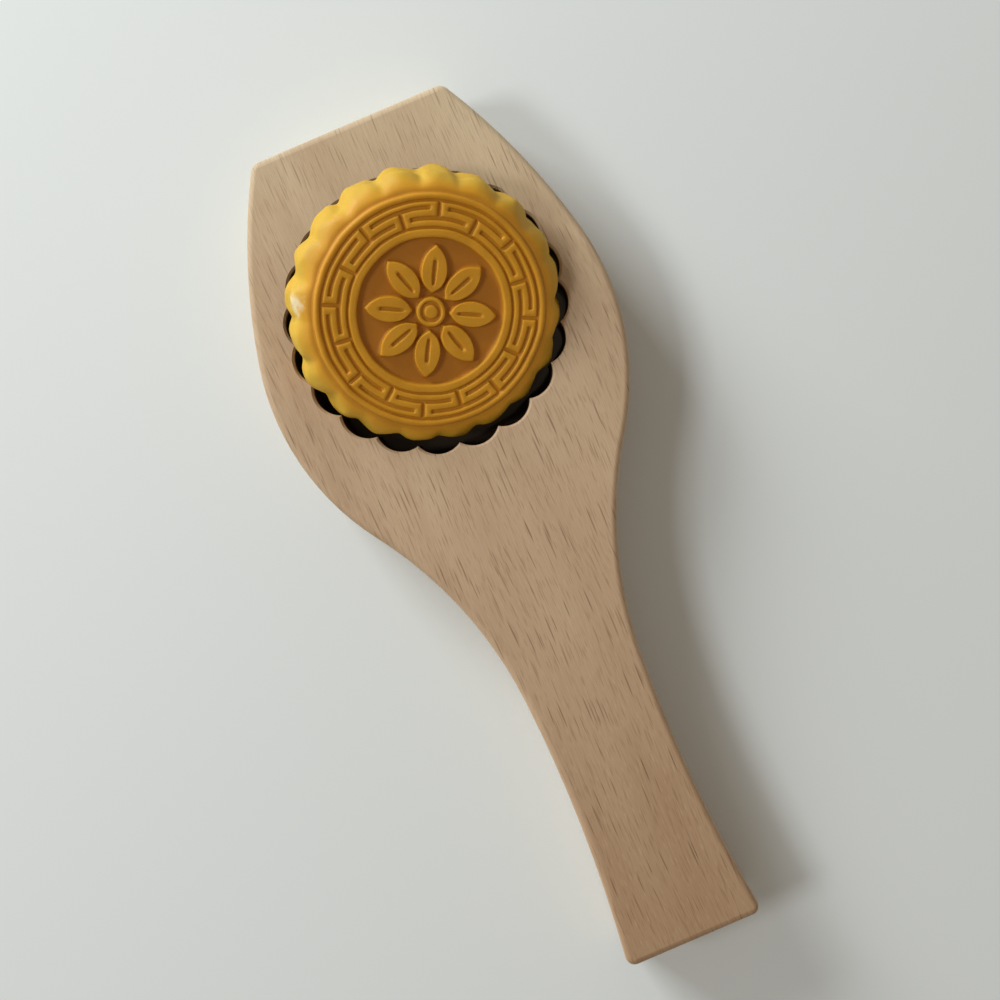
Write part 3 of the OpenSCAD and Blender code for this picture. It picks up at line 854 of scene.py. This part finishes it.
# %% Dough surface
GLOSSIEST_DOUGH, DULLEST_DOUGH, FLOUR_DULL = 0.52, 0.64, 0.9
CRUMB_STRENGTH = 0.25
CRUMB_HEIGHT = 0.1 * MM
DOUGH_IOR, DOUGH_SHINE = 1.45, 0.45
GLOW_SHARE = 0.25
GLOW_COLOR_REACH = (1.0, 0.45, 0.12)
GLOW_DEPTH = 1.6 * MM
dough_bump = add_node(pastry, "ShaderNodeBump", {
    "Height": crumbs, "Strength": CRUMB_STRENGTH, "Distance": CRUMB_HEIGHT}).outputs[0]
satin = add_node(pastry, "ShaderNodeMapRange", {
    "Value": crumbs, "From Min": NOISE_LOW, "From Max": NOISE_HIGH,
    "To Min": GLOSSIEST_DOUGH, "To Max": DULLEST_DOUGH}).outputs[0]
satin = add_node(pastry, "ShaderNodeMix", {"Factor": flour, "A": satin, "B": FLOUR_DULL}).outputs[0]
dough_surface = add_node(pastry, "ShaderNodeBsdfPrincipled", {
    "Base Color": dough_color, "Roughness": satin, "Normal": dough_bump,
    "IOR": DOUGH_IOR, "Specular IOR Level": DOUGH_SHINE,
    "Subsurface Weight": GLOW_SHARE, "Subsurface Radius": GLOW_COLOR_REACH, "Subsurface Scale": GLOW_DEPTH})
add_node(pastry, "ShaderNodeOutputMaterial", {"Surface": dough_surface.outputs[0]})
print("dough has", len(pastry.nodes), "nodes")

# %% [markdown]
# ## Floor, light and camera
# The board lies on a pale floor, a large plane with a plain matt finish. It isn't part of the object.

# %% Floor
FLOOR_HALF = 3.0
FLOOR_ROUGHNESS = 0.8
floor_finish, floor_tree = new_material("pale_floor")
floor_surface = add_node(floor_tree, "ShaderNodeBsdfPrincipled", {
    "Base Color": from_hex("#dfe4e0"), "Roughness": FLOOR_ROUGHNESS})
add_node(floor_tree, "ShaderNodeOutputMaterial", {"Surface": floor_surface.outputs[0]})
corners = [(x * FLOOR_HALF, y * FLOOR_HALF, 0) for x, y in ((-1, -1), (1, -1), (1, 1), (-1, 1))]
floor_mesh = bpy.data.meshes.new("floor")
floor_mesh.from_pydata(corners, [], [(0, 1, 2, 3)])
floor_mesh.materials.append(floor_finish)
floor = bpy.data.objects.new("floor", floor_mesh)
bpy.context.scene.collection.objects.link(floor)
print("floor is", 2 * FLOOR_HALF, "m wide")

# %% [markdown]
# Two soft windows light the board: a high one at its left, and a low one beyond its head that grazes the
# lobes and draws the long faint shadow. A lamp's power is worked out from the level that it gives the
# floor, so it can be moved without a change of brightness. A dim warm world fills the rest.

# %% Windows and fill
DAYLIGHT = "#f5f9ff"
ROOM_LEVEL = 0.295


def window(name, toward, height_angle, distance, width, level):
    """A square lamp in a direction across the floor, at a height angle, that lights the floor to a level."""
    lamp = bpy.data.lights.new(name, "AREA")
    lamp.shape = "SQUARE"
    lamp.size = width
    lamp.color = from_hex(DAYLIGHT)[:3]
    lamp.energy = level * math.pi ** 2 * distance ** 2 / math.sin(height_angle)
    flat = distance * math.cos(height_angle) / math.hypot(*toward)
    stand = Vector((toward[0] * flat, toward[1] * flat, distance * math.sin(height_angle)))
    facing = stand.to_track_quat("Z", "Y").to_matrix().to_4x4()
    lamp_object = bpy.data.objects.new(name, lamp)
    lamp_object.matrix_world = Matrix.Translation(stand) @ facing
    bpy.context.scene.collection.objects.link(lamp_object)
    print(name, "gives", round(lamp.energy, 1), "W from", [round(c, 2) for c in stand])


window("left_window", toward=(-0.96, 0.28), height_angle=math.radians(49), distance=1.8, width=0.42,
       level=0.205)
window("head_window", toward=(-0.41, 0.91), height_angle=math.radians(25), distance=1.15, width=0.49,
       level=0.39)
world = bpy.data.worlds.new("room")
world.use_nodes = True
world.node_tree.nodes.clear()
sky = add_node(world.node_tree, "ShaderNodeBackground", {
    "Color": from_hex("#fff1e4"), "Strength": ROOM_LEVEL})
add_node(world.node_tree, "ShaderNodeOutputWorld", {"Surface": sky.outputs[0]})
bpy.context.scene.world = world

# %% [markdown]
# The photograph looks straight down, with the board turned so that its head lies at the upper left. The
# image covers 236 mm at the board's top face, which fixes the lens once the distance is chosen.

# %% Camera
VIEW_WIDTH = 236 * MM
VIEW_DISTANCE = 0.33
VIEW_X, VIEW_Y = -1.6 * MM, 8.9 * MM
VIEW_TURN = math.radians(23.2)
camera = bpy.data.cameras.new("camera")
camera.sensor_width = 36.0
camera.lens = camera.sensor_width * VIEW_DISTANCE / VIEW_WIDTH
camera.clip_start = 0.01
camera_object = bpy.data.objects.new("camera", camera)
camera_object.location = (VIEW_X, VIEW_Y, BOARD_T + VIEW_DISTANCE)
camera_object.rotation_euler = (0, 0, -VIEW_TURN)
bpy.context.scene.collection.objects.link(camera_object)
bpy.context.scene.camera = camera_object
bpy.context.scene.view_settings.view_transform = "Standard"
print("lens", round(camera.lens, 1), "mm")
